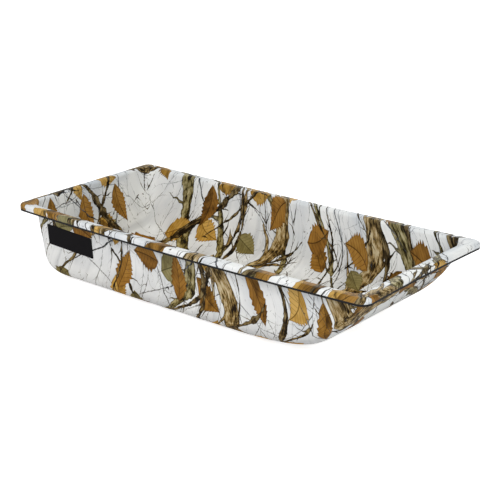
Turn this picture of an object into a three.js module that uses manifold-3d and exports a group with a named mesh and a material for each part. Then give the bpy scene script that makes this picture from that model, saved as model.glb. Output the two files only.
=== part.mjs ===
// A tow sled for ice fishing: a tub of thermoformed plastic sheet, with a label on its near side.
// The tub is one sheet all over: a floor with three runners, four leaning walls, a front that sweeps
// up in one large curve, and a rim rolled outwards and down. Two rope holes are drilled in the front.
// Millimetres and degrees. +X points to the towed end, +Z up, and the runners rest on Z 0.
import * as THREE from "three";
import Module from "manifold-3d";

const wasm = await Module();
wasm.setup();

// The tub over its rim, and the sheet that it is formed from
const length = 1372;
const widthAtEnds = 625;
const sideBow = 7.5; // how far each long side stands out halfway along
const depth = 245; // from the floor's underside to the rim's top, halfway along
const sheer = 7; // how much higher the rim is at its ends
const frontCrown = 5; // and how much higher again halfway across the front
const sheet = 3;

// The rim: a flat top between two roundings, and a flange that hangs down outside
const rimOuterRound = 9;
const rimInnerRound = 11;
const rimDrop = 22;
const rimCorner = 30;

// The walls: how far the rim stands out from each, how each leans, and its curve into the floor
const sideOverhang = 33;
const sideLean = 6;
const sideFoot = 59;
const rearOverhang = 26;
const rearLean = 5.3;
const rearFoot = 86;
const frontOverhang = 40;
const frontLean = 24.5;
const frontFoot = 364;

// The upright corners between the walls, seen from above. The front ones are drawn out at the floor.
const rearCornerTop = 54;
const rearCornerFloor = 46;
const frontCornerTop = 28;
const frontCornerFloor = 48;
const frontCornerReach = 198;

// The runners, pressed into the floor
const runnerCount = 3;
const runnerPitch = 125;
const runnerWidth = 44;
const runnerDepth = 5;
const runnerSlope = 8; // how far a runner's side leans in over its depth
const runnerEdge = 1.5; // the rounding along its lower edges
const runnerRamp = 60; // the length over which an end fades out
const runnerSetback = 25; // from the rear wall's curve to the runner's end
const runnerTop = 60; // how high up the front it runs

// The tow rope's holes
const ropeHole = 14;
const ropeSpacing = 400;
const ropeBelowRim = 62;

// The label
const labelLength = 206;
const labelHeight = 70;
const labelThickness = 0.5;
const labelCorner = 5;
const labelGap = 0.3;
const labelFromRear = 103; // from the rim's rear edge to the label's rear end
const labelBelowRim = 58; // from the rim's top to the label's upper edge
const labelTilt = 1.5; // it was stuck on with its front end a little low

// How finely the curves are divided
const wallRings = 16;
const innerRoundSteps = 5;
const outerRoundSteps = 5;
const cornerSteps = 7;
const sideSteps = 12;
const endSteps = 6;
const runnerRings = 8; // up the front
const holeSides = 32;
const overrun = 4;
const finest = 0.01; // slivers under this, left by the cuts, are joined up

const radians = THREE.MathUtils.degToRad;
const lerp = THREE.MathUtils.lerp;
const quarterTurn = Math.PI / 2;
const halfLength = length / 2;
const rimUnderside = depth - sheet;
const underRound = rimInnerRound - sheet;

/** A wall: its lean and foot, how far out its top stands, and the height where the rim begins. */
function wall(leanDegrees, foot, reach) {
  const lean = radians(leanDegrees);
  return { lean, foot, reach, top: rimUnderside - underRound * (1 - Math.sin(lean)) };
}

const side = wall(sideLean, sideFoot, widthAtEnds / 2 - sideOverhang);
const rear = wall(rearLean, rearFoot, halfLength - rearOverhang);
const front = wall(frontLean, frontFoot, halfLength - frontOverhang);

/** How far out the outer face of a wall stands at a height above the floor's underside. */
function reachAt({ lean, foot, reach, top }, height) {
  const footRise = foot * (1 - Math.sin(lean));
  const straight = reach - (top - Math.max(height, footRise)) * Math.tan(lean);
  const below = foot - Math.min(height, footRise);
  return straight - foot * Math.cos(lean) + Math.sqrt(foot * foot - below * below);
}

/** The outline of the walls' outer faces at a height, grown outwards by spread. */
function wallOutline(height, spread = 0) {
  const share = height / rimUnderside;
  const drawnOut = frontCornerReach - frontCornerTop;
  const frontWide = lerp(frontCornerFloor, frontCornerTop, share) + spread;
  const rearWide = lerp(rearCornerFloor, rearCornerTop, share) + spread;
  return {
    half: reachAt(side, height) + spread,
    front: {
      reach: reachAt(front, height) + spread,
      long: frontCornerTop + drawnOut * (1 - share) ** 4 + spread,
      wide: frontWide,
    },
    rear: { reach: reachAt(rear, height) + spread, long: rearWide, wide: rearWide },
  };
}

/** The outline of the flange's inner face, shrunk by inset. */
function rimOutline(inset) {
  const shrink = sheet + inset;
  const end = { reach: halfLength - shrink, long: rimCorner - shrink, wide: rimCorner - shrink };
  return { half: widthAtEnds / 2 - shrink, front: end, rear: end };
}

// The four corners in turn, counter-clockwise from above, each with the walls that it joins
const corners = [
  { end: "front", forward: 1, across: -1, turn: -quarterTurn, from: side, to: front, steps: endSteps },
  { end: "front", forward: 1, across: 1, turn: 0, from: front, to: side, steps: sideSteps },
  { end: "rear", forward: -1, across: 1, turn: quarterTurn, from: side, to: rear, steps: endSteps },
  { end: "rear", forward: -1, across: -1, turn: 2 * quarterTurn, from: rear, to: side, steps: sideSteps },
];

/** Every place round the tub: some in each corner, and some on the straight run after it. */
function stationsRound() {
  const stations = [];
  corners.forEach((corner, index) => {
    const next = corners[(index + 1) % corners.length];
    for (let step = 0; step <= cornerSteps; step += 1) {
      const turned = step / cornerSteps;
      stations.push({ corner, turned, lean: lerp(corner.from.lean, corner.to.lean, turned) });
    }
    for (let step = 1; step < corner.steps; step += 1) {
      stations.push({ corner, next, along: step / corner.steps, lean: corner.to.lean });
    }
  });
  return stations;
}

/** A point of an outline's corner, turned by a share of the quarter turn. */
function cornerPoint(outline, { end, forward, across, turn }, turned) {
  const { reach, long, wide } = outline[end];
  const angle = turn + turned * quarterTurn;
  const centreX = forward * (reach - long);
  const centreY = across * (outline.half - wide);
  return [centreX + long * Math.cos(angle), centreY + wide * Math.sin(angle)];
}

/** The outline's point at a station, before the sides are bowed. */
function outlinePoint(outline, station) {
  if (!station.next) return cornerPoint(outline, station.corner, station.turned);
  const [startX, startY] = cornerPoint(outline, station.corner, 1);
  const [endX, endY] = cornerPoint(outline, station.next, 0);
  return [lerp(startX, endX, station.along), lerp(startY, endY, station.along)];
}

/** The share of the bow that a long side has at x, and of the sheer that the rim lacks there. */
function middleShare(x) {
  return 1 - (x / halfLength) ** 2;
}

/** A point in space, with the bow of the long sides and the sheer and crown of the rim put in. */
function formed(x, y, height, half) {
  const bowed = y + (sideBow * middleShare(x) * y) / half;
  const crown = frontCrown * Math.max(x / halfLength, 0) ** 4 * (1 - (y / half) ** 2);
  const raised = height + ((sheer * (1 - middleShare(x)) + crown) * height) / depth;
  return new THREE.Vector3(x, bowed, raised);
}

/** The sheet's under face as rings of points, from the floor's edge up the walls to the flange. */
function underRings(stations) {
  const rings = [];
  const addRing = (placeAt) => {
    rings.push(
      stations.map((station) => {
        const { outline, height } = placeAt(station.lean);
        const [x, y] = outlinePoint(outline, station);
        return formed(x, y, height, outline.half);
      }),
    );
  };
  const topOf = (lean) => rimUnderside - underRound * (1 - Math.sin(lean));
  for (let ring = 0; ring <= wallRings; ring += 1) {
    const climbed = (ring / wallRings) ** 2;
    addRing((lean) => {
      const height = topOf(lean) * climbed;
      return { outline: wallOutline(height), height };
    });
  }
  for (let step = 1; step <= innerRoundSteps; step += 1) {
    addRing((lean) => {
      const angle = lerp(lean, quarterTurn, step / innerRoundSteps);
      const spread = underRound * (Math.cos(lean) - Math.cos(angle));
      const height = rimUnderside - underRound * (1 - Math.sin(angle));
      return { outline: wallOutline(topOf(lean), spread), height };
    });
  }
  const flangeRound = rimOuterRound - sheet;
  for (let step = 0; step <= outerRoundSteps; step += 1) {
    const angle = quarterTurn * (step / outerRoundSteps);
    const outline = rimOutline(flangeRound * (1 - Math.sin(angle)));
    const height = rimUnderside - flangeRound * (1 - Math.cos(angle));
    addRing(() => ({ outline, height }));
  }
  addRing(() => ({ outline: rimOutline(0), height: depth - rimDrop }));
  return rings;
}

/** The direction in which a row of points runs at its middle one, with both steps weighed alike. */
function heading(before, here, after) {
  const run = new THREE.Vector3();
  if (before) run.add(here.clone().sub(before).normalize());
  if (after) run.add(after.clone().sub(here).normalize());
  return run.normalize();
}

/** The sheet's upper face: each point of the under face moved through the sheet, square to it. */
function throughSheet(rings) {
  return rings.map((ring, level) =>
    ring.map((point, index) => {
      const count = ring.length;
      const outward = heading(rings[level - 1]?.[index], point, rings[level + 1]?.[index]);
      const round = heading(ring[(index + count - 1) % count], point, ring[(index + 1) % count]);
      const normal = outward.cross(round).normalize();
      if (level === 0) normal.set(0, 0, 1); // the floor is flat
      return point.clone().addScaledVector(normal, sheet);
    }),
  );
}

/** A solid whose skin passes through rings of points in turn, with a flat cap at each end. */
function loft(rings) {
  const count = rings[0].length;
  const middleOf = (ring) =>
    ring.reduce((sum, point) => sum.add(point), new THREE.Vector3()).divideScalar(count);
  const last = rings.length - 1;
  const points = [...rings.flat(), middleOf(rings[0]), middleOf(rings[last])];
  const triangles = [];
  for (let index = 0; index < count; index += 1) {
    const next = (index + 1) % count;
    for (let level = 0; level < last; level += 1) {
      const here = level * count;
      const beyond = here + count;
      triangles.push([here + index, beyond + index, beyond + next]);
      triangles.push([here + index, beyond + next, here + next]);
    }
    triangles.push([points.length - 2, index, next]);
    triangles.push([points.length - 1, last * count + next, last * count + index]);
  }
  return new wasm.Manifold(
    new wasm.Mesh({
      numProp: 3,
      vertProperties: new Float32Array(points.flatMap((point) => point.toArray())),
      triVerts: new Uint32Array(triangles.flat()),
    }),
  );
}

/** The tub's sheet before the runners are pressed and the holes drilled. */
function plainShell() {
  const under = underRings(stationsRound());
  const upper = throughSheet(under);
  return loft([...upper, ...under.reverse()]);
}

/** The line that the runners follow: along the floor's underside and up the front. */
function runnerLine() {
  const rearEnd = runnerSetback - reachAt(rear, 0);
  const line = [new THREE.Vector3(rearEnd, 0, 0), new THREE.Vector3(rearEnd + runnerRamp, 0, 0)];
  for (let ring = 0; ring <= runnerRings; ring += 1) {
    const height = runnerTop * (ring / runnerRings) ** 2;
    line.push(formed(reachAt(front, height), 0, height, side.reach));
  }
  return line;
}

/** The line cut finer, as places with the distance from both ends and the way out of the floor. */
function runnerStations() {
  const path = new THREE.CurvePath();
  const line = runnerLine();
  line.slice(1).forEach((point, index) => path.add(new THREE.LineCurve3(line[index], point)));
  const whole = path.getLength();
  const lengths = path.getCurveLengths();
  const rampSteps = 6;
  const distances = new Set([0, whole, ...lengths]);
  for (let step = 1; step <= rampSteps; step += 1) {
    distances.add((runnerRamp * step) / rampSteps);
    distances.add(whole - (runnerRamp * step) / rampSteps);
  }
  const sorted = [...distances].sort((a, b) => a - b);
  const apart = sorted.filter((distance, index) => index === 0 || distance - sorted[index - 1] > sheet / 2);
  return apart.map((distance) => {
    const share = Math.min(distance / whole, 1);
    const ahead = path.getTangent(share);
    const out = new THREE.Vector3(ahead.z, 0, -ahead.x);
    return { place: path.getPoint(share), out, fromEnd: Math.min(distance, whole - distance) };
  });
}

/** A runner's body at y: its skin when thin is 0, or the hollow inside it when thin is the sheet. */
function runnerBody(y, thin) {
  const steepness = Math.hypot(1, runnerSlope / runnerDepth);
  const rings = runnerStations().map(({ place, out, fromEnd }) => {
    const grown = (1 - Math.cos(Math.PI * Math.min(fromEnd / runnerRamp, 1))) / 2;
    const skin = lerp(-sheet / 4, runnerDepth, grown);
    const edge = lerp(sheet / 8, runnerEdge, grown);
    const low = skin - thin;
    const high = thin > 0 ? -sheet - overrun : -sheet / 2;
    const halfAt = (drop) => runnerWidth / 2 - (runnerSlope * drop) / runnerDepth - thin * steepness;
    const section = [
      [halfAt(high), high],
      [halfAt(low - edge), low - edge],
      [halfAt(low) - edge, low],
      [-halfAt(low) + edge, low],
      [-halfAt(low - edge), low - edge],
      [-halfAt(high), high],
    ];
    return section.map(([across, drop]) => {
      const point = place.clone().addScaledVector(out, drop);
      point.y = y + across;
      return point;
    });
  });
  return loft(rings);
}

/** The drill for one rope hole, square to the front wall. */
function ropeDrill(y) {
  const height = depth - ropeBelowRim;
  const place = formed(reachAt(front, height), y, height, side.reach);
  place.y = y;
  const drill = new THREE.CylinderGeometry(ropeHole / 2, ropeHole / 2, sheet + 2 * overrun, holeSides);
  const square = new THREE.Vector3(Math.cos(front.lean), 0, -Math.sin(front.lean));
  const turn = new THREE.Quaternion().setFromUnitVectors(new THREE.Vector3(0, 1, 0), square);
  drill.applyQuaternion(turn);
  place.addScaledVector(square, -sheet / 2);
  drill.translate(place.x, place.y, place.z);
  return solidOf(drill);
}

/** A closed three.js geometry as a solid, with its shared points joined. */
function solidOf(geometry) {
  const keys = new Map();
  const places = [];
  const position = geometry.getAttribute("position");
  const joined = Array.from({ length: position.count }, (_, index) => {
    const point = new THREE.Vector3().fromBufferAttribute(position, index);
    const key = point.toArray().map((value) => value.toFixed(4)).join();
    if (!keys.has(key)) {
      keys.set(key, places.length);
      places.push(point);
    }
    return keys.get(key);
  });
  const triVerts = Uint32Array.from(geometry.index.array, (index) => joined[index]);
  const vertProperties = new Float32Array(places.flatMap((point) => point.toArray()));
  return new wasm.Manifold(new wasm.Mesh({ numProp: 3, vertProperties, triVerts }));
}

/** The tub: the sheet with its runners pressed in and its rope holes drilled. */
function hull() {
  let body = plainShell();
  const middle = (runnerCount - 1) / 2;
  for (let runner = 0; runner < runnerCount; runner += 1) {
    body = body.add(runnerBody((runner - middle) * runnerPitch, 0));
  }
  for (let runner = 0; runner < runnerCount; runner += 1) {
    body = body.subtract(runnerBody((runner - middle) * runnerPitch, sheet));
  }
  for (const y of [-ropeSpacing / 2, ropeSpacing / 2]) body = body.subtract(ropeDrill(y));
  return body.simplify(finest);
}

/** A point on the near side wall's outer face, lifted off it by a distance square to the wall. */
function onNearSide(x, height, off) {
  const half = reachAt(side, height);
  const point = formed(x, -half, height, half);
  point.y -= off * Math.cos(side.lean);
  point.z -= off * Math.sin(side.lean);
  return point;
}

/** The label: a thin plate with rounded corners that follows the near side wall. */
function sideLabel() {
  const rearEnd = labelFromRear - halfLength;
  const middleX = rearEnd + labelLength / 2;
  const middleHeight = depth - labelBelowRim - labelHeight / 2;
  const centre = new THREE.Vector2();
  const face = (off) => {
    const ring = [];
    corners.forEach(({ turn, forward, across }) => {
      for (let step = 0; step <= cornerSteps; step += 1) {
        const angle = turn + (quarterTurn * step) / cornerSteps;
        const x = forward * (labelLength / 2 - labelCorner) + labelCorner * Math.cos(angle);
        const up = across * (labelHeight / 2 - labelCorner) + labelCorner * Math.sin(angle);
        const spot = new THREE.Vector2(x, up).rotateAround(centre, -radians(labelTilt));
        ring.push(onNearSide(middleX + spot.x, middleHeight + spot.y * Math.cos(side.lean), off));
      }
    });
    return ring;
  };
  return loft([face(labelGap + labelThickness), face(labelGap)]);
}

/** A named mesh of a solid in its own material. */
function piece(name, solid, material) {
  const { vertProperties, triVerts } = solid.getMesh();
  const geometry = new THREE.BufferGeometry();
  geometry.setAttribute("position", new THREE.BufferAttribute(vertProperties, 3));
  geometry.setIndex(new THREE.BufferAttribute(triVerts, 1));
  geometry.computeVertexNormals();
  const mesh = new THREE.Mesh(geometry, material);
  mesh.name = name;
  return mesh;
}

const printedPlastic = new THREE.MeshStandardMaterial({ color: 0xdfe0e2, roughness: 0.4, metalness: 0 });
const labelFilm = new THREE.MeshStandardMaterial({ color: 0x1a181c, roughness: 0.45, metalness: 0 });

const sled = new THREE.Group();
const tub = new THREE.Group();
tub.position.z = runnerDepth;
tub.add(piece("hull", hull(), printedPlastic), piece("side_label", sideLabel(), labelFilm));
sled.add(tub);

export default sled;
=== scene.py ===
"""An ice fishing sled: a thermoformed tub with a winter print, and a black label on its near side.

The tub follows the sizes of its solid, drawn finer. The print is worked out on the flat sheet that
the tub is formed from, so that it runs over the rim and is drawn out where the sheet is.
Metres. +X points to the towed end, +Z up, and the runners rest on Z 0.
"""

import logging
import math
from collections.abc import Callable
from dataclasses import astuple, dataclass, field
from enum import Enum
from functools import partial
from typing import Any

import bmesh
import bpy
import numpy as np
from mathutils import Matrix, Vector


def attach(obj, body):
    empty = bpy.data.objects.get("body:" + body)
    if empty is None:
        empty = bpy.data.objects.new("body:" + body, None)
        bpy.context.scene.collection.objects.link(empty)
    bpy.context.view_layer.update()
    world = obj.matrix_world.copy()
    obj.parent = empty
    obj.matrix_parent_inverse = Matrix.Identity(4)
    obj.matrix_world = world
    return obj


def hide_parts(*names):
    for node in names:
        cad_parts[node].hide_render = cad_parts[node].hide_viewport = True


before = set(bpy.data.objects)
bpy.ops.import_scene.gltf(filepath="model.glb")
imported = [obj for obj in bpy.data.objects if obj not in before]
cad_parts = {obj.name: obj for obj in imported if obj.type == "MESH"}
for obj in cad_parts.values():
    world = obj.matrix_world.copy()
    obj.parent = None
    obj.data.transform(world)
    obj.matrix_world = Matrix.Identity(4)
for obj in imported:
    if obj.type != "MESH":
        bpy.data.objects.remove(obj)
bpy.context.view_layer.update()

log = logging.getLogger("ice_fishing_sled")

MM = 0.001
PRINT_MAP = "SheetPrint"
BAKE_MAP = "OFBake"
DRAW = "draw"
UPPER_FACE = "upper_face"
INK_EDGE = 0.7 * MM  # over which a printed edge fades
NOISE_SPAN = (0.3, 0.7)  # what the values of a noise mostly lie between

Adder = Callable[..., Any]  # add_node, for one node tree


# Colour and nodes


def linear(hex_colour: str) -> tuple[float, float, float, float]:
    """Turn an sRGB hex value into the linear colour that a shader takes.

    Args:
        hex_colour: Six hex digits after a hash, such as "#8b5a1e".

    Returns:
        Red, green, blue and an alpha of 1.
    """
    parts = [int(hex_colour[at : at + 2], 16) / 255 for at in (1, 3, 5)]
    red, green, blue = (c / 12.92 if c <= 0.04045 else ((c + 0.055) / 1.055) ** 2.4 for c in parts)
    return red, green, blue, 1.0


def add_node(
    tree: bpy.types.NodeTree, kind: str, *values: Any, stops: tuple = (), **options: Any
) -> Any:
    """Add a shader node with its settings and links.

    Args:
        tree: The material's or the world's node tree.
        kind: The node's type without its ShaderNode prefix.
        values: What goes into its inputs in turn: a node, a socket, a number, a colour or None.
        stops: For a ramp, its (place, colour) stops.
        options: A setting's name and value, or an input's name with what goes into it.

    Returns:
        The node.
    """
    node = tree.nodes.new("ShaderNode" + kind)
    inputs = {}
    for name, value in options.items():
        if hasattr(node, name):
            setattr(node, name, value)
        else:
            inputs[name.replace("_", " ")] = value
    if stops:
        ramp = node.color_ramp.elements
        while len(ramp) < len(stops):
            ramp.new(1)
        for stop, (place, colour) in zip(ramp, stops):
            stop.position, stop.color = place, linear(colour)
    shown = [socket for socket in node.inputs if socket.enabled]
    pairs = list(zip(shown, values))
    pairs += [(next(s for s in shown if s.name == name), value) for name, value in inputs.items()]
    for socket, value in pairs:
        if isinstance(value, bpy.types.Node):
            value = next(out for out in value.outputs if out.enabled)
        if isinstance(value, bpy.types.NodeSocket):
            tree.links.new(value, socket)
        elif value is not None:
            socket.default_value = value
    return node


def new_material(name: str) -> tuple[bpy.types.Material, Adder]:
    """Make a material with an empty node tree.

    Args:
        name: The material's name.

    Returns:
        The material, and add_node for its tree.
    """
    material = bpy.data.materials.new(name)
    material.use_nodes = True
    material.node_tree.nodes.clear()
    return material, partial(add_node, material.node_tree)


def add_object(name: str, data: Any) -> bpy.types.Object:
    """Put a new object into the scene.

    Args:
        name: Its name.
        data: Its mesh, lamp or camera.

    Returns:
        The object, at the origin.
    """
    thing = bpy.data.objects.new(name, data)
    bpy.context.scene.collection.objects.link(thing)
    return thing


# The print: what is drawn on the sheet, from the back to the front


@dataclass(frozen=True)
class Ground:
    """Snow and haze behind the stems: near white, with pale cold shadows."""

    drifts: tuple = ((0.36, "#d6dce2"), (0.6, "#eff2f3"))  # from shade to snow
    drift: float = 120 * MM
    haze: str = "#c2cad3"
    haze_span: tuple = (0.55, 0.72)  # the noise at which a far stem starts and is full
    haze_amount: float = 0.6
    stem_width: float = 22 * MM
    stem_length: float = 380 * MM

    def paint(self, add: Adder, place: Any) -> Any:
        """Paint the snow and the stems far off in the haze.

        Args:
            add: Adds a node to the print.
            place: The place on the flat sheet, in metres.

        Returns:
            The node with the colour.
        """
        drifts = add("TexNoise", Vector=place, Scale=1 / self.drift, Detail=4.0)
        snow = add("ValToRGB", drifts, stops=self.drifts)
        drawn_out = (1 / self.stem_width, 1 / self.stem_length, 1.0)
        stretched = add("VectorMath", place, drawn_out, operation="MULTIPLY")
        stems = add("TexNoise", Vector=stretched, Scale=1.0, Detail=2.0)
        amount = add("MapRange", stems, *self.haze_span, 0.0, self.haze_amount)
        return add("Mix", amount, snow, linear(self.haze), data_type="RGBA")


@dataclass(frozen=True)
class Bark:
    """The colours of a stem, from its outline to its palest patches."""

    edge: str
    shade: str
    body: str
    patch: str
    light: str

    def stops(self) -> tuple:
        """The colours with the tone at which each has its full strength."""
        return tuple(zip((0.2, 0.36, 0.5, 0.62, 0.8), astuple(self)))


@dataclass(frozen=True)
class Stems:
    """A family of bare stems that run about the same way, with shoots from both their sides."""

    turn: float  # degrees from the tub's width
    apart: float
    thin: float
    thick: float
    cover: float  # the share of their length that shows
    sway: float
    bend: float  # the length of one sway
    bark: Bark
    seed: float
    shoots: float = 0.0  # how far the longest shoots stand out
    shoot_angle: float = math.radians(42)
    finest_shoot: float = 0.6 * MM
    shortest_shoot: float = 0.1 * MM  # above 0, because something is divided by its length
    widest_outline: float = 4 * MM
    ragged_share: float = 0.3  # what a ragged edge takes off, of the greatest thickness
    knot_shares: tuple = (0.72, 1.3)  # how thin and how thick knots leave a stem
    # Real fibres are under a millimetre wide; these are drawn coarse enough to show.
    fibre_width: float = 6 * MM
    fibre_length: float = 26 * MM
    patch: float = 17 * MM
    run: float = 40.0  # what moves each stem's knots and gaps along, so that no two are alike

    def paint(self, add: Adder, place: Any, under: Any) -> Any:
        """Paint the stems over what is there.

        Args:
            add: Adds a node to the print.
            place: The place on the flat sheet, in metres.
            under: The colour so far.

        Returns:
            The node with the new colour.
        """
        angle = math.radians(self.turn)
        turned = add("VectorRotate", place, Angle=angle, rotation_type="Z_AXIS")
        moved = add("VectorMath", turned, (self.seed, self.seed / 3, self.seed))
        split = add("SeparateXYZ", moved)
        x, y = split.outputs["X"], split.outputs["Y"]
        sways = add("TexNoise", Vector=moved, Scale=1 / self.bend, Detail=3.0)
        swayed = add("Math", sways, 2 * self.sway, x, operation="MULTIPLY_ADD")
        lanes = add("Math", swayed, 1 / self.apart, operation="MULTIPLY")
        nearest = add("TexVoronoi", W=lanes, Scale=1.0, Randomness=0.8, voronoi_dimensions="1D")
        chance = add("SeparateColor", nearest.outputs["Color"])
        off = add("Math", lanes, nearest.outputs["W"], operation="SUBTRACT")
        across = add("Math", off, self.apart, operation="MULTIPLY")
        along = add("Math", chance.outputs[1], self.run, y, operation="MULTIPLY_ADD")
        ragged = add("TexNoise", Vector=moved, Scale=2.5 / self.thick, Detail=3.0)
        most_ragged = self.ragged_share * self.thick
        distance = add("Math", across, operation="ABSOLUTE")
        distance = add("Math", ragged, most_ragged, distance, operation="MULTIPLY_ADD")
        shown = self._shown(add, along)
        half = self._half(add, along, chance, shown)
        inside = add("Math", half, distance, operation="SUBTRACT")
        if self.shoots:
            shoot = self._shoot(add, moved, along, across, shown)
            inside = add("Math", inside, shoot, operation="MAXIMUM")
        wood = self._wood(add, across, along, half, inside)
        mask = add("MapRange", inside, 0.0, INK_EDGE, 0.0, 1.0)
        return add("Mix", mask, under, wood, data_type="RGBA")

    def _shown(self, add: Adder, along: Any) -> Any:
        """Let each stem come and go along its length.

        Args:
            add: Adds a node to the print.
            along: How far along its stem a place is.

        Returns:
            The node with 0 where there is no stem, and up to 1 where it has its full thickness.
        """
        scale = 0.4 / self.bend
        reach = add("TexNoise", W=along, Scale=scale, Detail=1.0, noise_dimensions="1D")
        # The noise is above this level over about the share of the length that cover gives.
        middle = 0.62 - 0.24 * self.cover
        return add("MapRange", reach, middle - 0.05, middle + 0.1, 0.0, 1.0)

    def _half(self, add: Adder, along: Any, chance: Any, shown: Any) -> Any:
        """Give each stem its thickness, with knots.

        Args:
            add: Adds a node to the print.
            along: How far along its stem a place is.
            chance: Three numbers from 0 to 1 that differ from stem to stem.
            shown: How much of the stem is there.

        Returns:
            The node with half the thickness, and what the ragged edge takes off it.
        """
        thinnest, thickest = 0.65 * self.thin, 0.65 * self.thick
        grown = add("MapRange", chance.outputs[0], 0.0, 1.0, thinnest, thickest)
        scale = 0.4 / self.thick
        knots = add("TexNoise", W=along, Scale=scale, Detail=2.0, noise_dimensions="1D")
        gnarled = add("MapRange", knots, *NOISE_SPAN, *self.knot_shares)
        half = add("Math", grown, gnarled, operation="MULTIPLY")
        return add("Math", half, shown, operation="MULTIPLY")

    def _shoot(self, add: Adder, moved: Any, along: Any, across: Any, shown: Any) -> Any:
        """Grow shoots from both sides of each stem.

        Args:
            add: Adds a node to the print.
            moved: The place on the flat sheet, turned and moved for this family.
            along: How far along its stem a place is.
            across: How far off the stem's middle line it is, with its side as the sign.
            shown: How much of the stem is there.

        Returns:
            The node with how far inside a shoot the place is, below 0 outside.
        """
        apart, crook, stagger = 1.1 * self.shoots, 0.4 * self.shoots, 0.55 * self.shoots
        forward, sideways = -1 / math.tan(self.shoot_angle), math.sin(self.shoot_angle)
        side = add("Math", across, operation="SIGN")
        out = add("Math", across, operation="ABSOLUTE")
        crooked = add("TexNoise", Vector=moved, Scale=2 / self.shoots, Detail=2.0)
        root = add("Math", out, forward, along, operation="MULTIPLY_ADD")
        root = add("Math", crooked, crook, root, operation="MULTIPLY_ADD")
        root = add("Math", side, stagger, root, operation="MULTIPLY_ADD")
        root = add("Math", root, 1 / apart, operation="MULTIPLY")
        nearest = add("TexVoronoi", W=root, Scale=1.0, Randomness=0.9, voronoi_dimensions="1D")
        chance = add("SeparateColor", nearest.outputs["Color"])
        off = add("Math", root, nearest.outputs["W"], operation="SUBTRACT")
        off = add("Math", off, operation="ABSOLUTE")
        off = add("Math", off, apart * sideways, operation="MULTIPLY")
        length = add("Math", chance.outputs[0], shown, operation="MULTIPLY")
        length = add("Math", length, self.shoots, self.shortest_shoot, operation="MULTIPLY_ADD")
        used = add("Math", out, length, operation="DIVIDE")
        left = add("Math", 1.0, used, operation="SUBTRACT")
        thickness = self.finest_shoot + 0.13 * (self.thin + self.thick) / 2
        half = add("Math", left, thickness, operation="MULTIPLY")
        return add("Math", half, off, operation="SUBTRACT")

    def _wood(self, add: Adder, across: Any, along: Any, half: Any, inside: Any) -> Any:
        """Colour the bark: fibres and patches, a shaded side and a dark outline.

        Args:
            add: Adds a node to the print.
            across: How far off the stem's middle line the place is, with its side as the sign.
            along: How far along the stem it is.
            half: Half the stem's thickness.
            inside: How far inside the stem or a shoot it is.

        Returns:
            The node with the colour.
        """
        place = add("CombineXYZ", across, along, self.seed)
        drawn_out = (1 / self.fibre_width, 1 / self.fibre_length, 1.0)
        fibre_place = add("VectorMath", place, drawn_out, operation="MULTIPLY")
        fibres = add("TexNoise", Vector=fibre_place, Scale=1.0, Detail=4.0, Roughness=0.7)
        patches = add("TexNoise", Vector=place, Scale=1 / self.patch, Detail=3.0, Roughness=0.6)
        tone = add("Math", patches, 0.9, fibres, operation="MULTIPLY_ADD")
        side = add("Math", across, half, operation="DIVIDE")
        side = add("Clamp", side, -1.0, 1.0)
        tone = add("Math", side, -0.1, tone, operation="MULTIPLY_ADD")
        tone = add("MapRange", tone, 0.66, 1.24, 0.0, 1.0)
        wood = add("ValToRGB", tone, stops=self.bark.stops())
        rim = min(max(0.14 * self.thick, INK_EDGE), self.widest_outline)
        outline = add("MapRange", inside, 0.3 * rim, rim, 0.85, 0.0)
        return add("Mix", outline, wood, linear(self.bark.edge), data_type="RGBA")


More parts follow.
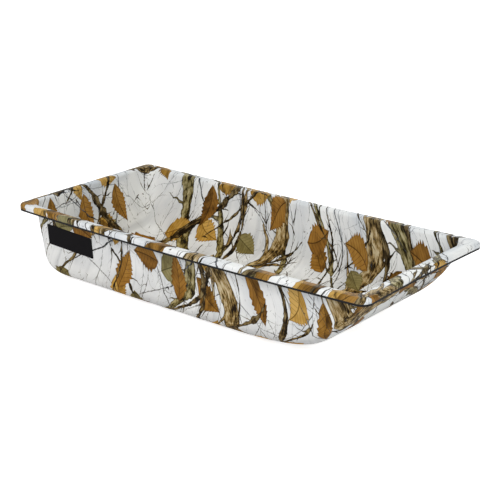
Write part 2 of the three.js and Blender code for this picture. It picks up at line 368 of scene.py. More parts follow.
@dataclass(frozen=True)
class Leaves:
    """Dry beech leaves: pointed ovals with a toothed edge, a midrib and straight side veins."""

    apart: float
    length: float
    width: float
    cover: float  # the share of the places that hold a leaf
    light: str
    body: str
    dark: str
    seed: float
    veins: float = 9.0
    slant: float = 0.75  # how far the side veins lean towards the tip
    taper: float = 1.35  # above 1 draws the tip and the stalk's end out to a point
    fullest: float = 0.8  # below 1 moves the widest place towards the stalk
    curl_share: float = 0.14  # how far the most curled midrib bows, of the leaf's length
    teeth_shares: tuple = (1.06, 0.84)  # how far out a tooth's tip and its notch stand
    rib: tuple = (0.6 * MM, 1.4 * MM)  # half its width, and where its shade ends
    dry_edge: tuple = (0.8 * MM, 3.0 * MM)
    blotch: float = 22 * MM
    group: float = 260 * MM  # how far apart the thick of the leaves is

    def paint(self, add: Adder, place: Any, under: Any) -> Any:
        """Paint the leaves over what is there.

        Args:
            add: Adds a node to the print.
            place: The place on the flat sheet, in metres.
            under: The colour so far.

        Returns:
            The node with the new colour.
        """
        scale = 1 / self.apart
        moved = add("VectorMath", place, (self.seed, -self.seed, 0.0))
        nearest = add(
            "TexVoronoi", Vector=moved, Scale=scale, Randomness=0.3, voronoi_dimensions="2D"
        )
        middle = nearest.outputs["Position"]
        chance = add("SeparateColor", nearest.outputs["Color"])
        off = add("VectorMath", moved, middle, operation="SUBTRACT")
        angle = add("Math", chance.outputs[0], math.tau, operation="MULTIPLY")
        turned = add("VectorRotate", off, Angle=angle, rotation_type="Z_AXIS")
        split = add("SeparateXYZ", turned)
        thick_of = add("TexNoise", Vector=middle, Scale=1 / self.group)
        rank = add("MapRange", thick_of, 0.35, 0.65, 0.5, -0.5)
        rank = add("Math", rank, chance.outputs[2])
        here = add("Math", rank, self.cover, operation="LESS_THAN")
        return self._shade(add, moved, split, chance, here, under)

    def _shade(
        self, add: Adder, place: Any, split: Any, chance: Any, here: Any, under: Any
    ) -> Any:
        """Cut out each leaf and draw its veins.

        Args:
            add: Adds a node to the print.
            place: The place on the flat sheet, moved for this set of leaves.
            split: The place in the leaf, along it and across it, as separate numbers.
            chance: Three numbers from 0 to 1 that differ from leaf to leaf.
            here: 1 where there is a leaf, 0 where its place is left bare.
            under: The colour so far.

        Returns:
            The node with the new colour.
        """
        x, y = split.outputs["X"], split.outputs["Y"]
        share = add("Math", x, 1 / self.length, 0.5, operation="MULTIPLY_ADD")
        share = add("Clamp", share)
        early = add("Math", share, self.fullest, operation="POWER")
        bow = add("Math", early, math.pi, operation="MULTIPLY")
        swell = add("Math", bow, operation="SINE")
        curl = add("MapRange", chance.outputs[1], 0.0, 1.0, -self.curl_share, self.curl_share)
        lifted = add("Math", curl, self.length, operation="MULTIPLY")
        bent = add("Math", swell, lifted, y, operation="MULTIPLY_ADD")
        distance = add("Math", bent, operation="ABSOLUTE")

        lean = -self.slant / self.length
        slanted = add("Math", distance, lean, share, operation="MULTIPLY_ADD")
        counted = add("Math", slanted, self.veins, operation="MULTIPLY")
        tooth = add("Math", counted, operation="FRACT")
        cut = add("MapRange", tooth, 0.0, 1.0, *self.teeth_shares)
        tapered = add("Math", swell, self.taper, operation="POWER")
        half = add("Math", tapered, self.width / 2, operation="MULTIPLY")
        half = add("Math", half, cut, operation="MULTIPLY")
        inside = add("Math", half, distance, operation="SUBTRACT")
        mask = add("MapRange", inside, 0.0, INK_EDGE, 0.0, 1.0)
        mask = add("Math", mask, here, operation="MULTIPLY")

        blotches = add("TexNoise", Vector=place, Scale=1 / self.blotch, Detail=4.0)
        lit = add("Math", bent, 0.0, operation="GREATER_THAN")
        tone = add("Math", lit, 0.16, blotches, operation="MULTIPLY_ADD")
        tone = add("Math", chance.outputs[1], 0.3, tone, operation="MULTIPLY_ADD")
        tones = ((0.4, self.dark), (0.62, self.body), (0.95, self.light))
        flesh = add("ValToRGB", tone, stops=tones)
        vein = add("Math", tooth, 0.5, operation="SUBTRACT")
        vein = add("Math", vein, operation="ABSOLUTE")
        vein = add("MapRange", vein, 0.03, 0.1, 0.6, 0.0)
        rib = add("MapRange", distance, *self.rib, 0.9, 0.0)
        edge = add("MapRange", inside, *self.dry_edge, 0.7, 0.0)
        lines = add("Math", vein, rib, operation="MAXIMUM")
        lines = add("Math", lines, edge, operation="MAXIMUM")
        leaf = add("Mix", lines, flesh, linear(self.dark), data_type="RGBA")
        return add("Mix", mask, under, leaf, data_type="RGBA")


MOSSY = Bark("#17120b", "#4a4428", "#7a7350", "#98906b", "#b7b08f")
WEATHERED = Bark("#1b140c", "#54462b", "#86734b", "#a8926b", "#cbc0a3")
DARK_WOOD = Bark("#120e09", "#2a2318", "#443a28", "#695b40", "#8f8262")
WET_TWIG = Bark("#24272d", "#30343b", "#3e434b", "#545961", "#747a83")
FAR_TWIG = Bark("#7c848e", "#88909b", "#929aa4", "#9ca4ae", "#a9b0b9")


@dataclass(frozen=True)
class PrintedPolyethylene:
    """High-density polyethylene sheet, printed on both faces and thermoformed.

    The eye sees a bright, milky plastic. Its upper face has a soft gloss that breaks up a little
    where the sheet is uneven, its under face is duller from the mould's grain, and the ink grows
    thin and yellowish where the sheet was drawn out.
    """

    ior: float = 1.54
    specular: float = 0.03
    under_roughness: float = 0.58
    upper_roughness: float = 0.34
    rougher: tuple = (-0.04, 0.06)  # what the unevenness adds to it, at the least and the most
    unevenness: float = 7 * MM
    relief: float = 0.4 * MM
    thin_ink: str = "#b09440"
    thinning: float = 0.75
    ground: Ground = Ground()
    layers: tuple = (
        # Stems: turn, apart, thin, thick, cover, sway, bend, bark, seed, shoots
        # Leaves: apart, length, width, cover, light, body, dark, seed
        Stems(4, 40 * MM, 1.4 * MM, 3.0 * MM, 0.65, 16 * MM, 120 * MM, FAR_TWIG, 1.7, 20 * MM),
        Stems(74, 60 * MM, 1.4 * MM, 3.2 * MM, 0.6, 24 * MM, 150 * MM, FAR_TWIG, 5.1, 34 * MM),
        Stems(-34, 180 * MM, 20 * MM, 46 * MM, 0.9, 36 * MM, 260 * MM, MOSSY, 9.3, 80 * MM),
        Stems(-61, 80 * MM, 2.0 * MM, 4.2 * MM, 0.6, 26 * MM, 160 * MM, WET_TWIG, 51.1, 36 * MM),
        Leaves(130 * MM, 94 * MM, 56 * MM, 0.5, "#cfac68", "#aa8640", "#6f5527", 2.3),
        Stems(20, 310 * MM, 46 * MM, 90 * MM, 0.8, 55 * MM, 420 * MM, WEATHERED, 13.9, 120 * MM),
        Stems(-12, 75 * MM, 2.0 * MM, 4.2 * MM, 0.65, 26 * MM, 160 * MM, WET_TWIG, 33.7, 36 * MM),
        Leaves(140 * MM, 92 * MM, 58 * MM, 0.2, "#99946e", "#7a7552", "#4d4b33", 17.1),
        Stems(52, 140 * MM, 8 * MM, 20 * MM, 0.8, 28 * MM, 170 * MM, DARK_WOOD, 21.7, 60 * MM),
        Leaves(140 * MM, 100 * MM, 60 * MM, 0.5, "#a98143", "#8a672f", "#463217", 7.9),
        Stems(-8, 130 * MM, 8 * MM, 22 * MM, 0.75, 26 * MM, 210 * MM, DARK_WOOD, 27.1, 56 * MM),
        Stems(38, 85 * MM, 2.0 * MM, 4.0 * MM, 0.55, 30 * MM, 140 * MM, WET_TWIG, 41.3, 40 * MM),
        Leaves(135 * MM, 96 * MM, 58 * MM, 0.46, "#a1783b", "#805d2d", "#412e16", 29.9),
        Stems(-50, 130 * MM, 5 * MM, 13 * MM, 0.6, 30 * MM, 150 * MM, DARK_WOOD, 61.9, 48 * MM),
    )

    def build(self) -> bpy.types.Material:
        """Make the material.

        Returns:
            The material of both printed faces.
        """
        material, add = new_material("printed_polyethylene_thermoformed")
        place = add("UVMap", uv_map=PRINT_MAP)
        colour = self.ground.paint(add, place)
        for layer in self.layers:
            colour = layer.paint(add, place, colour)
        drawn = add("Attribute", attribute_name=DRAW).outputs["Fac"]
        thinned = add("Math", drawn, self.thinning, operation="MULTIPLY")
        yellow = linear(self.thin_ink)
        colour = add("Mix", thinned, colour, yellow, data_type="RGBA", blend_type="SOFT_LIGHT")
        mould = add("TexNoise", Vector=place, Scale=1 / self.unevenness, Detail=2.0)
        face = add("Attribute", attribute_name=UPPER_FACE).outputs["Fac"]
        rough = add("MapRange", face, 0.0, 1.0, self.under_roughness, self.upper_roughness)
        uneven = add("MapRange", mould, *NOISE_SPAN, *self.rougher)
        gloss = add("Math", rough, uneven)
        bump = add("Bump", Height=mould, Strength=0.12, Distance=self.relief)
        shader = add(
            "BsdfPrincipled", Base_Color=colour, Roughness=gloss, IOR=self.ior,
            Specular_IOR_Level=self.specular, Normal=bump,
        )
        add("OutputMaterial", shader)
        return material


@dataclass(frozen=True)
class BlackPlastic:
    """What the sled's two black plastics share: a fine texture, in their tone and their gloss."""

    name: str
    colours: tuple  # the texture's stops, from its hollows to where it catches the light
    ior: float
    specular: float
    roughness: tuple  # at its least and at its most
    texture: float
    detail: float
    relief: float = 0.0

    def build(self) -> bpy.types.Material:
        """Make the material.

        Returns:
            The material.
        """
        material, add = new_material(self.name)
        place = add("TexCoord").outputs["Object"]
        texture = add("TexNoise", Vector=place, Scale=1 / self.texture, Detail=self.detail)
        colour = add("ValToRGB", texture, stops=self.colours)
        gloss = add("MapRange", texture, *NOISE_SPAN, *self.roughness)
        bump = None
        if self.relief:
            bump = add("Bump", Height=texture, Strength=0.15, Distance=self.relief)
        shader = add(
            "BsdfPrincipled", Base_Color=colour, Roughness=gloss, IOR=self.ior,
            Specular_IOR_Level=self.specular, Normal=bump,
        )
        add("OutputMaterial", shader)
        return material


@dataclass(frozen=True)
class BareCoreAndShade(BlackPlastic):
    """The sheet's black core, bare where a router trimmed the edge and a drill cut the holes.

    The eye sees a thin, dull black line under the rim, with fine marks that run across it. The band
    that makes this line at the foot of the rim's outer face is partly the bare core and partly
    painted shade for the gap under the rim.
    """

    name: str = "black_polyethylene_routed_and_painted_shade"
    colours: tuple = ((0.35, "#08080a"), (0.7, "#121214"))
    ior: float = 1.54
    specular: float = 0.15
    roughness: tuple = (0.52, 0.7)
    texture: float = 3 * MM
    detail: float = 2.0


@dataclass(frozen=True)
class VinylLabel(BlackPlastic):
    """Calendered black vinyl, stuck on: the eye sees an even satin black with a faint grain."""

    name: str = "black_vinyl_calendered"
    colours: tuple = ((0.3, "#070608"), (0.75, "#0f0d10"))
    ior: float = 1.53
    specular: float = 0.03
    roughness: tuple = (0.5, 0.6)
    texture: float = 1.6 * MM
    detail: float = 3.0
    relief: float = 0.05 * MM


# The formed sheet's mesh


def unit(vectors: np.ndarray) -> np.ndarray:
    """The directions of vectors, each of length 1."""
    return vectors / np.linalg.norm(vectors, axis=-1, keepdims=True)


def smooth(share: np.ndarray) -> np.ndarray:
    """Ease a share in and out, held between 0 and 1."""
    return (1 - np.cos(math.pi * np.clip(share, 0, 1))) / 2


def close_round(rings: np.ndarray) -> np.ndarray:
    """Repeat each ring's first place at its end."""
    return np.concatenate([rings, rings[:, :1]], axis=1)


class Film(Enum):
    """What is on a face of the sheet: its material slot, and where the bake's map puts it."""

    UNDER = (0, 0.25)
    UPPER = (0, 0.75)
    # bare black core; also painted shade along the foot of the rim's outer face
    NONE = (1, 0.75)
    HOLE = (1, 0.5)


@dataclass
class SheetMesh:
    """Gathers grids of points, row by row, into one mesh."""

    bake_side: float = 1440 * MM  # what the bake's unit square spans
    under_print: tuple = (5.8, 9.0)  # where on the print the under face's film is cut
    upper_print: tuple = (23.0, -4.5)  # and the upper face's
    merge: float = 0.001 * MM  # points nearer than this are one
    grids: list = field(default_factory=list)

    def add(
        self,
        film: Film,
        points: np.ndarray,
        places: np.ndarray,
        drawn: np.ndarray,
        turned: bool = False,
    ) -> None:
        """Add a grid of faces.

        Args:
            film: What is on it.
            points: The points, by row and column.
            places: Where they lay on the flat sheet.
            drawn: How far the sheet is drawn out there, from 0 to 1.
            turned: Whether its faces look against the direction of rows times columns.
        """
        index = np.arange(drawn.size).reshape(drawn.shape)
        around = [index[:-1, :-1], index[1:, :-1], index[1:, 1:], index[:-1, 1:]]
        quads = np.stack(around[::-1] if turned else around, axis=-1).reshape(-1, 4)
        flat = places.reshape(-1, 2)
        shift = self.upper_print if film is Film.UPPER else self.under_print
        baked = flat / self.bake_side + (0.5, film.value[1])
        slots = np.full(len(quads), film.value[0])
        upper = np.full(drawn.size, float(film is Film.UPPER))
        self.grids.append(
            (points.reshape(-1, 3), quads, flat + shift, baked, drawn.ravel(), upper, slots)
        )

    def finish(self, name: str, materials: list[bpy.types.Material]) -> bpy.types.Object:
        """Join the grids where they meet.

        Args:
            name: The object's name.
            materials: Its material slots.

        Returns:
            The object.
        """
        starts = np.cumsum([0] + [len(grid[0]) for grid in self.grids])
        columns = (list(part) for part in zip(*self.grids))
        points, quads, printed, baked, drawn, upper, slots = columns
        loops = np.concatenate([part + start for part, start in zip(quads, starts)])
        mesh = bpy.data.meshes.new(name)
        mesh.from_pydata(np.concatenate(points).tolist(), [], loops.tolist())
        for map_name, values in ((PRINT_MAP, printed), (BAKE_MAP, baked)):
            layer = mesh.uv_layers.new(name=map_name)
            layer.uv.foreach_set("vector", np.concatenate(values)[loops.ravel()].ravel())
        for attribute_name, values in ((DRAW, drawn), (UPPER_FACE, upper)):
            attribute = mesh.attributes.new(attribute_name, "FLOAT", "CORNER")
            attribute.data.foreach_set("value", np.concatenate(values)[loops.ravel()])
        mesh.polygons.foreach_set("material_index", np.concatenate(slots))
        joined = bmesh.new()
        joined.from_mesh(mesh)
        bmesh.ops.remove_doubles(joined, verts=joined.verts, dist=self.merge)
        joined.to_mesh(mesh)
        joined.free()
        for material in materials:
            mesh.materials.append(material)
        return add_object(name, mesh)


# The tub


class Corner(Enum):
    """An upright corner, seen from above: its end, its side and the angle at which it starts."""

    FRONT_RIGHT = (1, -1, -math.pi / 2)
    FRONT_LEFT = (1, 1, 0.0)
    REAR_LEFT = (-1, 1, math.pi / 2)
    REAR_RIGHT = (-1, -1, math.pi)


@dataclass(frozen=True)
class Wall:
    """A wall of the tub: its lean, its curve into the floor and how far out its top stands."""

    lean: float
    foot: float
    reach: float
    top: float

    def reach_at(self, height: np.ndarray) -> np.ndarray:
        """How far out the wall's outer face stands.

        Args:
            height: A height above the floor's underside.

        Returns:
            Its distance from the tub's middle.
        """
        foot_rise = self.foot * (1 - math.sin(self.lean))
        straight = self.reach - (self.top - np.maximum(height, foot_rise)) * math.tan(self.lean)
        below = self.foot - np.minimum(height, foot_rise)
        return straight - self.foot * math.cos(self.lean) + np.sqrt(self.foot**2 - below**2)


@dataclass(frozen=True)
class Outline:
    """Rounded oblongs seen from above, one for each place round the tub."""

    half: np.ndarray
    reach: np.ndarray  # of the front end, then of the rear end
    long: np.ndarray  # the corners' size along the tub, likewise
    wide: np.ndarray  # and across it


@dataclass(frozen=True)
class Stations:
    """The places round the tub, counter-clockwise from above."""

    corner: list[Corner]  # the corner that a place is in or comes after
    after: list[Corner]  # the corner that comes next
    turned: np.ndarray  # the share of the corner's quarter turn
    along: np.ndarray  # the share of the straight run after the corner
    keep: np.ndarray  # the share of a place's Y that follows the outline
    fixed: np.ndarray  # the rest of its Y, which is the same at every height
    lean: np.ndarray


@dataclass
class Tub:
    """The formed sheet: floor, runners, walls, rolled rim and rope holes."""

    length: float = 1372 * MM
    width_at_ends: float = 625 * MM
    side_bow: float = 7.5 * MM
    depth: float = 245 * MM
    sheer: float = 7 * MM
    front_crown: float = 5 * MM
    sheet: float = 3 * MM

    rim_outer_round: float = 9 * MM
    rim_inner_round: float = 11 * MM
    rim_drop: float = 22 * MM
    rim_corner: float = 30 * MM
    core_and_shade_band: float = 6 * MM  # a black band this high at the foot of the rim's outer face: bare core where the film ends, and painted shade for the gap under the rim

    side_overhang: float = 33 * MM
    side_lean: float = math.radians(6)
    side_foot: float = 59 * MM
    rear_overhang: float = 26 * MM
    rear_lean: float = math.radians(5.3)
    rear_foot: float = 86 * MM
    front_overhang: float = 40 * MM
    front_lean: float = math.radians(24.5)
    front_foot: float = 364 * MM

    rear_corner_top: float = 54 * MM
    rear_corner_floor: float = 46 * MM
    front_corner_top: float = 28 * MM
    front_corner_floor: float = 48 * MM
    front_corner_reach: float = 198 * MM

    runner_places: tuple = (-125 * MM, 0.0, 125 * MM)
    runner_width: float = 44 * MM
    runner_depth: float = 5 * MM
    runner_slope: float = 8 * MM
    runner_ramp: float = 60 * MM
    runner_setback: float = 25 * MM
    runner_top: float = 60 * MM

    rope_hole: float = 14 * MM
    rope_spacing: float = 400 * MM
    rope_below_rim: float = 62 * MM

    length_draw: float = 1.14  # how far the sheet is drawn out along the tub
    width_draw: float = 1.5  # and across it

    wall_rings: int = 34
    inner_round_steps: int = 10
    outer_round_steps: int = 9
    drop_steps: int = 3
    corner_steps: int = 14
    side_steps: int = 84
    flank_steps: int = 5
    slope_steps: int = 5
    between_steps: int = 8
    ladder_steps: int = 4
    hole_sides: int = 48
    sharp_from: float = math.radians(40)

    finishes: list[bpy.types.Material] = field(default_factory=list)

    def __post_init__(self) -> None:
        """Work out the walls from the sizes."""
        self.half_length = self.length / 2
        self.rim_underside = self.depth - self.sheet
        self.under_round = self.rim_inner_round - self.sheet
        self.flank = max(self.runner_places) + self.runner_width / 2
        half_width = self.width_at_ends / 2
        self.side = self._wall(self.side_lean, self.side_foot, half_width - self.side_overhang)
        self.rear = self._wall(
            self.rear_lean, self.rear_foot, self.half_length - self.rear_overhang
        )
        self.front = self._wall(
            self.front_lean, self.front_foot, self.half_length - self.front_overhang
        )

    def _wall(self, lean: float, foot: float, reach: float) -> Wall:
        """A wall whose straight part ends where the rim begins."""
        return Wall(lean, foot, reach, self.rim_underside - self.under_round * (1 - math.sin(lean)))

    def _wall_outline(self, height: np.ndarray, spread: Any = 0.0) -> Outline:
        """The outline of the walls' outer faces.

        Args:
            height: A height above the floor's underside for each place round the tub.
            spread: How far the outline is grown outwards.

        Returns:
            The outline.
        """
        share = height / self.rim_underside
        drawn_out = self.front_corner_reach - self.front_corner_top
        front_floor, rear_floor = self.front_corner_floor, self.rear_corner_floor
        front_wide = front_floor + (self.front_corner_top - front_floor) * share
        rear_wide = rear_floor + (self.rear_corner_top - rear_floor) * share
        front_long = self.front_corner_top + drawn_out * (1 - share) ** 4
        return Outline(
            half=self.side.reach_at(height) + spread,
            reach=np.array([self.front.reach_at(height), self.rear.reach_at(height)]) + spread,
            long=np.array([front_long, rear_wide]) + spread,
            wide=np.array([front_wide, rear_wide]) + spread,
        )

    def _rim_outline(self, inset: float, count: int) -> Outline:
        """The outline of the rim's flange.

        Args:
            inset: How far it is shrunk.
            count: How many places there are round the tub.

        Returns:
            The outline.
        """
        shrink = self.sheet + inset
        ends = np.ones((2, count))
        return Outline(
            half=np.full(count, self.width_at_ends / 2 - shrink),
            reach=ends * (self.half_length - shrink),
            long=ends * (self.rim_corner - shrink),
            wide=ends * (self.rim_corner - shrink),
        )

    def _across_places(self) -> list[float]:
        """Space out the lines that run along the floor and up both ends.

        Returns:
            The Y of each, close together at the runners' sides.
        """
        half, steps = self.runner_width / 2, self.slope_steps
        close = [half - self.runner_slope * step / steps for step in range(steps + 1)]
        close.append(half / 4)
        places = {0.0}
        for middle in self.runner_places:
            places.update(middle + sign * offset for offset in close for sign in (-1, 1))
        between = np.linspace(half, self.runner_places[-1] - half, self.between_steps + 1)[1:-1]
        places.update(sign * float(offset) for offset in between for sign in (-1, 1))
        ordered = sorted(places)
        least = self.runner_slope / 10
        return [y for at, y in enumerate(ordered) if at == 0 or y - ordered[at - 1] > least]

    def _stations(self) -> Stations:
        """Lay out the places round the tub.

        Returns:
            The stations.
        """
        rows = []
        corners = list(Corner)
        across = self._across_places()
        leans = {
            Corner.FRONT_RIGHT: (self.side, self.front),
            Corner.FRONT_LEFT: (self.front, self.side),
            Corner.REAR_LEFT: (self.side, self.rear),
            Corner.REAR_RIGHT: (self.rear, self.side),
        }
        for index, corner in enumerate(corners):
            after = corners[(index + 1) % len(corners)]
            start, end = leans[corner]
            for turned in np.linspace(0, 1, self.corner_steps + 1):
                lean = start.lean + turned * (end.lean - start.lean)
                rows.append((corner, after, turned, 0.0, 1.0, 0.0, lean))
            straight = []
            if end is self.side:
                shares = np.linspace(0, 1, self.side_steps + 1)[1:-1]
                straight = [(share, 1.0, 0.0) for share in shares]
            else:
                sign = corner.value[1]
                steps = np.arange(1, self.flank_steps + 1) / self.flank_steps
                straight += [(0.0, 1 - s, sign * self.flank * s) for s in steps[:-1]]
                straight += [(0.5, 0.0, -sign * y) for y in across]
                straight += [(1.0, 1 - s, -sign * self.flank * s) for s in steps[-2::-1]]
            for along, keep, fixed in straight:
                rows.append((corner, after, 1.0, along, keep, fixed, end.lean))
        columns = list(zip(*rows))
        numbers = [np.array(column) for column in columns[2:]]
        return Stations(list(columns[0]), list(columns[1]), *numbers)

    @staticmethod
    def _corner_point(outline: Outline, corners: list[Corner], turned: np.ndarray) -> np.ndarray:
        """Points of the outline's corners.

        Args:
            outline: The outline at each place.
            corners: The corner for each place.
            turned: The share of its quarter turn.

        Returns:
            X and Y for each place.
        """
        forward, across, start = np.array([corner.value for corner in corners]).T
        end = (forward < 0).astype(int)
        places = np.arange(len(corners))
        long, wide = outline.long[end, places], outline.wide[end, places]
        angle = start + turned * math.pi / 2
        x = forward * (outline.reach[end, places] - long) + long * np.cos(angle)
        y = across * (outline.half - wide) + wide * np.sin(angle)
        return np.array([x, y])

    def _raised(self, x: Any, across: Any, height: Any) -> Any:
        """A height with the rim's sheer and its crown at the front put in.

        Args:
            x: How far forward it is.
            across: Its Y, as a share of the outline's half width there.
            height: The height above the floor's underside.

        Returns:
            The raised height.
        """
        forward = x / self.half_length
        crown = self.front_crown * np.maximum(forward, 0) ** 4 * (1 - across**2)
        return height + (self.sheer * forward**2 + crown) * height / self.depth

    def _ring(self, stations: Stations, outline: Outline, height: np.ndarray) -> np.ndarray:
        """A ring of points of the sheet's under face, bowed and raised towards its ends.

        Args:
            stations: The places round the tub.
            outline: The outline at each place.
            height: The height at each place.

        Returns:
            The points, one row each.
        """
        start = self._corner_point(outline, stations.corner, stations.turned)
        end = self._corner_point(outline, stations.after, np.zeros(len(height)))
        x, followed = start + stations.along * (end - start)
        y = followed * stations.keep + stations.fixed
        across = y / outline.half
        middle = 1 - (x / self.half_length) ** 2
        bowed = y + self.side_bow * middle * stations.keep * across
        return np.stack([x, bowed, self._raised(x, across, height)], axis=1)

    def _under_face(self, stations: Stations) -> np.ndarray:
        """The sheet's under face, from the floor's edge up the walls and over to the flange.

        Args:
            stations: The places round the tub.

        Returns:
            The points, by ring and place.
        """
        lean, count = stations.lean, len(stations.lean)
        top = self.rim_underside - self.under_round * (1 - np.sin(lean))
        rings = []
        for share in np.linspace(0, 1, self.wall_rings + 1) ** 2:  # closest at the foot
            rings.append(self._ring(stations, self._wall_outline(top * share), top * share))
        for share in np.linspace(0, 1, self.inner_round_steps + 1)[1:]:
            angle = lean + (math.pi / 2 - lean) * share
            spread = self.under_round * (np.cos(lean) - np.cos(angle))
            height = self.rim_underside - self.under_round * (1 - np.sin(angle))
            rings.append(self._ring(stations, self._wall_outline(top, spread), height))
        flange_round = self.rim_outer_round - self.sheet
        for angle in np.linspace(0, math.pi / 2, self.outer_round_steps + 1):
            outline = self._rim_outline(flange_round * (1 - math.sin(angle)), count)
            height = self.rim_underside - flange_round * (1 - math.cos(angle))
            rings.append(self._ring(stations, outline, np.full(count, height)))
        lowest = self.depth - self.rim_drop
        # The last drop leaves a band at the foot that is coloured black: bare core and painted
        # shade.
        drop = np.linspace(height, lowest + self.core_and_shade_band, self.drop_steps + 1)
        for height in (*drop[1:], lowest):
            outline = self._rim_outline(0.0, count)
            rings.append(self._ring(stations, outline, np.full(count, height)))
        return np.array(rings)

    @staticmethod
    def _square_to(rings: np.ndarray) -> np.ndarray:
        """The directions square to the under face, through the sheet.

        Args:
            rings: The under face's points, by ring and place.

        Returns:
            A direction of length 1 for each point.
        """
        out_steps = unit(np.diff(rings, axis=0))
        outward = np.zeros_like(rings)
        outward[:-1] += out_steps
        outward[1:] += out_steps
        round_steps = unit(np.roll(rings, -1, axis=1) - rings)
        around = round_steps + np.roll(round_steps, 1, axis=1)
        normals = unit(np.cross(outward, around))
        normals[0] = (0, 0, 1)
        return normals

    def _press(self, points: np.ndarray) -> np.ndarray:
        """How far the runners are pressed out at points of the sheet's under face.

        Args:
            points: The points, before any is pressed.

        Returns:
            The depth at each point.
        """
        x, y, height = np.moveaxis(points, -1, 0)
        nearest = np.min([np.abs(y - middle) for middle in self.runner_places], axis=0)
        across = smooth((self.runner_width / 2 - nearest) / self.runner_slope)
        start = self.runner_setback - float(self.rear.reach_at(np.array(0.0)))
        turn = float(self.front.reach_at(np.array(0.0)))
        foot = self.front_foot
        climb = foot * np.arccos(1 - np.clip(height, 0, foot / 2) / foot)
        whole = turn - start + foot * math.acos(1 - self.runner_top / foot)
        path = np.where(x > turn, turn - start + climb, x - start)
        ramp = smooth(np.minimum(path, whole - path) / self.runner_ramp)
        return self.runner_depth * across * ramp

    def _flat_places(self, rings: np.ndarray) -> tuple[np.ndarray, np.ndarray]:
        """Where each point lay on the flat sheet before it was formed.

        Args:
            rings: The under face's points.

        Returns:
            X and Y on the flat sheet, and the share of the way from the floor's edge to the rim's.
        """
        steps = np.linalg.norm(np.diff(rings, axis=0), axis=-1)
        path = np.concatenate([np.zeros((1, steps.shape[1])), np.cumsum(steps, axis=0)])
        share = (path / path[-1])[..., None]
        inner = rings[0, :, :2] / (self.length_draw, self.width_draw)
        edge = rings[-1, :, :2]
        along = unit(np.roll(edge, -1, axis=0) - np.roll(edge, 1, axis=0))
        outer = edge + self.rim_drop * np.stack([along[:, 1], -along[:, 0]], axis=1)
        return inner + share * (outer - inner), share[..., 0]

    def _floor_grids(self, ring: np.ndarray) -> list[tuple[np.ndarray, bool]]:
        """Divide the floor: a middle with straight lines along it, and a strip on either side.

        Args:
            ring: The floor's edge.

        Returns:
            Grids of points, each with whether its faces come out facing up.
        """
        across = len(self._across_places())
        front = self.corner_steps + self.flank_steps
        left = front + across - 1
        rear = left + 2 * front + self.side_steps
        rows = rear - left + 1
        shares = np.linspace(0, 1, rows)[:, None, None]
        ahead = ring[front : front + across]
        behind = ring[rear : rear + across][::-1]
        middle = ahead + shares * (behind - ahead)
        right = np.roll(ring, -(rear + across - 1), axis=0)[:rows]
        widths = np.linspace(0, 1, self.ladder_steps + 1)[:, None, None]
        grids = [(middle, False)]
        for line, outline in ((middle[:, -1], ring[left : rear + 1]), (middle[::-1, 0], right)):
            grids.append((line * (1 - widths) + outline * widths, True))
        return grids

    def _sheet(self) -> bpy.types.Object:
        """Form the sheet, before its rope holes are drilled.

        Returns:
            The tub, with the print's map, the bake's map and the draw.
        """
        rings = self._under_face(self._stations())
        normals = self._square_to(rings)
        flat, share = self._flat_places(rings)
        points, square, places = (close_round(part) for part in (rings, normals, flat))
        drawn = 1 - close_round(share)
        under = points - square * self._press(points)[..., None]
        upper = under + square * self.sheet
        trimmed = np.array([upper[-1], under[-1]])
        edge = np.array([places[-1], places[-1] + unit(places[-1] - places[-2]) * self.sheet])

        mesh = SheetMesh()
        mesh.add(Film.UNDER, under, places, drawn, turned=True)
        mesh.add(Film.UPPER, upper[:-1], places[:-1], drawn[:-1])
        # The foot of the rim's outer face in black: bare core and painted shade for the gap under
        # the rim.
        mesh.add(Film.NONE, upper[-2:], places[-2:], drawn[-2:])
        mesh.add(Film.NONE, trimmed, edge, drawn[-2:])
        for grid, facing_up in self._floor_grids(rings[0]):
            grid = grid - self._press(grid)[..., None] * (0, 0, 1)
            place = grid[..., :2] / (self.length_draw, self.width_draw)
            full = np.ones(grid.shape[:2])
            mesh.add(Film.UNDER, grid, place, full, turned=facing_up)
            mesh.add(Film.UPPER, grid + (0, 0, self.sheet), place, full, turned=not facing_up)
        return mesh.finish("tub_sheet", self.finishes)

    def _drill(self, across: float) -> bpy.types.Object:
        """A drill that stands square in the front wall, for one rope hole.

        Args:
            across: The hole's Y.

        Returns:
            The drill, whose side takes the bare core's finish.
        """
        height = self.depth - self.rope_below_rim
        forward = float(self.front.reach_at(np.array(height)))
        share = across / float(self.side.reach_at(np.array(height)))
        raised = float(self._raised(forward, share, height))
        square = np.array([math.cos(self.front_lean), 0, -math.sin(self.front_lean)])
        level = np.array([0.0, 1.0, 0.0])
        upright = np.cross(square, level)
        angles = np.linspace(0, math.tau, self.hole_sides + 1)[:, None]
        ring = self.rope_hole / 2 * (np.cos(angles) * level + np.sin(angles) * upright)
        centre = np.array([forward, across, raised]) - square * self.sheet / 2
        depths = self.sheet * np.array([-2.0, 2.0])  # well through the sheet both ways
        sides = centre + ring[None] + depths[:, None, None] * square
        caps = [np.stack([side, np.broadcast_to(side.mean(axis=0), side.shape)]) for side in sides]
        arc = np.linspace(0, math.pi * self.rope_hole, self.hole_sides + 1)
        place = np.stack(np.meshgrid(arc + 2 * across, depths), axis=-1)
        bare = np.zeros(place.shape[:2])

        mesh = SheetMesh()
        mesh.add(Film.HOLE, sides, place, bare)
        mesh.add(Film.HOLE, caps[0], place, bare, turned=True)
        mesh.add(Film.HOLE, caps[1], place, bare)
        return mesh.finish("rope_hole_drill", self.finishes)

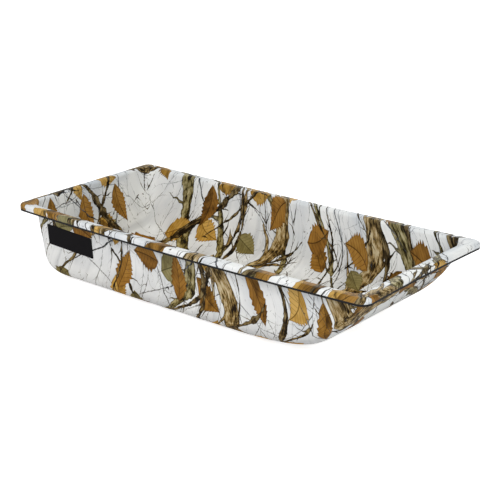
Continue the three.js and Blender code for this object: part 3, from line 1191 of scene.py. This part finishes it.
    def build(self) -> list[bpy.types.Object]:
        """Form the sheet, drill it and put it in the hull's place.

        Returns:
            The tub.
        """
        self.finishes += [PrintedPolyethylene().build(), BareCoreAndShade().build()]
        tub = self._sheet()
        drills = [self._drill(side * self.rope_spacing / 2) for side in (-1, 1)]
        for drill in drills:
            cut = tub.modifiers.new("rope_hole", "BOOLEAN")
            cut.operation, cut.solver, cut.object = "DIFFERENCE", "EXACT", drill
        graph = bpy.context.evaluated_depsgraph_get()
        drilled = bpy.data.meshes.new_from_object(
            tub.evaluated_get(graph), preserve_all_data_layers=True, depsgraph=graph
        )
        tub.modifiers.clear()
        tub.data = drilled
        for drill in drills:
            bpy.data.objects.remove(drill)
        drilled.transform(Matrix.Translation((0.0, 0.0, self.runner_depth)))
        drilled.shade_smooth()
        drilled.set_sharp_from_angle(angle=self.sharp_from)
        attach(tub, "root")
        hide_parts("hull")
        return [tub]


@dataclass
class SideLabel:
    """The label on the near side wall: the solid's own plate, in satin black vinyl."""

    node: str = "side_label"
    finish: VinylLabel = VinylLabel()

    def build(self) -> list[bpy.types.Object]:
        """Give the plate its finish.

        Returns:
            The label.
        """
        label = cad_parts[self.node]
        for slot in label.material_slots:
            slot.material = self.finish.build()
        return [label]


# Camera, floor and light


@dataclass(frozen=True)
class Studio:
    """A white floor that runs out of sight, soft lamps, and the camera."""

    target: tuple = (0.0198, 0.0261, 0.1571)
    camera_azimuth: float = math.radians(38.93)
    camera_elevation: float = math.radians(19.46)
    camera_distance: float = 4.0255
    lens: float = 91.9
    sensor: float = 36.0  # its width, in the same millimetres as the lens
    floor_size: float = 24.0
    floor_drop: float = 0.3 * MM  # keeps the paper clear of the runners' undersides
    white: str = "#ffffff"
    paper: str = "#e4e4e6"
    paper_glow: float = 0.8
    lamps: tuple = (
        # name, place, what it points at, size in metres, power in watts, colour
        ("key", (-0.7, -3.2, 2.6), (0.0, 0.0, 0.1), 2.6, 69.0, "#fffbfa"),
        ("fill", (3.1, -1.4, 2.0), (0.0, 0.0, 0.1), 2.2, 64.0, "#fdfbf4"),
        ("back", (-1.7, 3.3, 2.0), (0.0, 0.0, 0.1), 2.4, 36.0, "#fcfdfa"),
        ("top", (0.2, -0.2, 3.6), (0.0, 0.0, 0.0), 3.0, 5.0, "#eef8ee"),
    )
    surround: float = 0.36  # how bright the room is to the object

    def build(self) -> None:
        """Set up the floor, the world, the lamps, the camera and the view."""
        self._floor()
        self._world()
        for lamp in self.lamps:
            self._lamp(*lamp)
        self._camera()
        bpy.context.scene.view_settings.view_transform = "Standard"

    def _floor(self) -> None:
        """A level white floor under the runners."""
        half = self.floor_size / 2
        low = -self.floor_drop
        corners = [(x * half, y * half, low) for x, y in ((-1, -1), (1, -1), (1, 1), (-1, 1))]
        mesh = bpy.data.meshes.new("studio_floor")
        mesh.from_pydata(corners, [], [(0, 1, 2, 3)])
        mesh.materials.append(self._floor_finish())
        add_object("studio_floor", mesh)

    @staticmethod
    def _seen(add: Adder) -> Any:
        """Tell the rays by which a thing is seen, straight, in gloss or through glass.

        Args:
            add: Adds a node to the floor's tree or the world's.

        Returns:
            The node with 1 for those rays and 0 for light that falls on things.
        """
        rays = add("LightPath").outputs
        seen = add("Math", rays["Is Camera Ray"], rays["Is Glossy Ray"], operation="MAXIMUM")
        return add("Math", seen, rays["Is Transmission Ray"], operation="MAXIMUM")

    def _floor_finish(self) -> bpy.types.Material:
        """Matt white paper, which shows pure white to the camera outside the object's shadow.

        Returns:
            The floor's material.
        """
        material, add = new_material("white_paper_matt")
        seen = self._seen(add)
        paper = add("BsdfDiffuse", linear(self.paper))
        glow = add("Emission", linear(self.white), self.paper_glow)
        lit = add("AddShader", paper, glow)
        add("OutputMaterial", add("MixShader", seen, paper, lit))
        return material

    def _world(self) -> None:
        """A pale room that the camera and the reflections see as white."""
        world = bpy.data.worlds.new("pale_room")
        world.use_nodes = True
        world.node_tree.nodes.clear()
        add = partial(add_node, world.node_tree)
        strength = add("MapRange", self._seen(add), 0.0, 1.0, self.surround, 1.0)
        add("OutputWorld", add("Background", linear(self.white), strength))
        bpy.context.scene.world = world

    @staticmethod
    def _lamp(name: str, place: tuple, aim: tuple, size: float, power: float, colour: str) -> None:
        """Hang a square soft lamp.

        Args:
            name: The lamp's name.
            place: Where it hangs.
            aim: What it points at.
            size: Its side.
            power: Its power in watts.
            colour: Its colour.
        """
        data = bpy.data.lights.new(name, "AREA")
        data.size, data.energy, data.color = size, power, linear(colour)[:3]
        lamp = add_object(name, data)
        lamp.location = place
        lamp.rotation_euler = (Vector(aim) - Vector(place)).to_track_quat("-Z", "Y").to_euler()

    def _camera(self) -> None:
        """Stand the camera where the photograph was taken from."""
        flat = math.cos(self.camera_elevation)
        back = Vector((
            flat * math.sin(self.camera_azimuth),
            -flat * math.cos(self.camera_azimuth),
            math.sin(self.camera_elevation),
        ))
        data = bpy.data.cameras.new("camera")
        data.lens, data.sensor_width = self.lens, self.sensor
        camera = add_object("camera", data)
        camera.location = Vector(self.target) + self.camera_distance * back
        camera.rotation_euler = back.to_track_quat("Z", "Y").to_euler()
        bpy.context.scene.camera = camera


def main() -> None:
    """Build the sled and its studio, and log how many faces each piece has."""
    logging.basicConfig(level=logging.INFO, format="%(name)s: %(message)s")
    Studio().build()
    for part in (Tub(), SideLabel()):
        for piece in part.build():
            log.info("%s: %d faces", piece.name, len(piece.data.polygons))


if __name__ == "__main__":
    main()
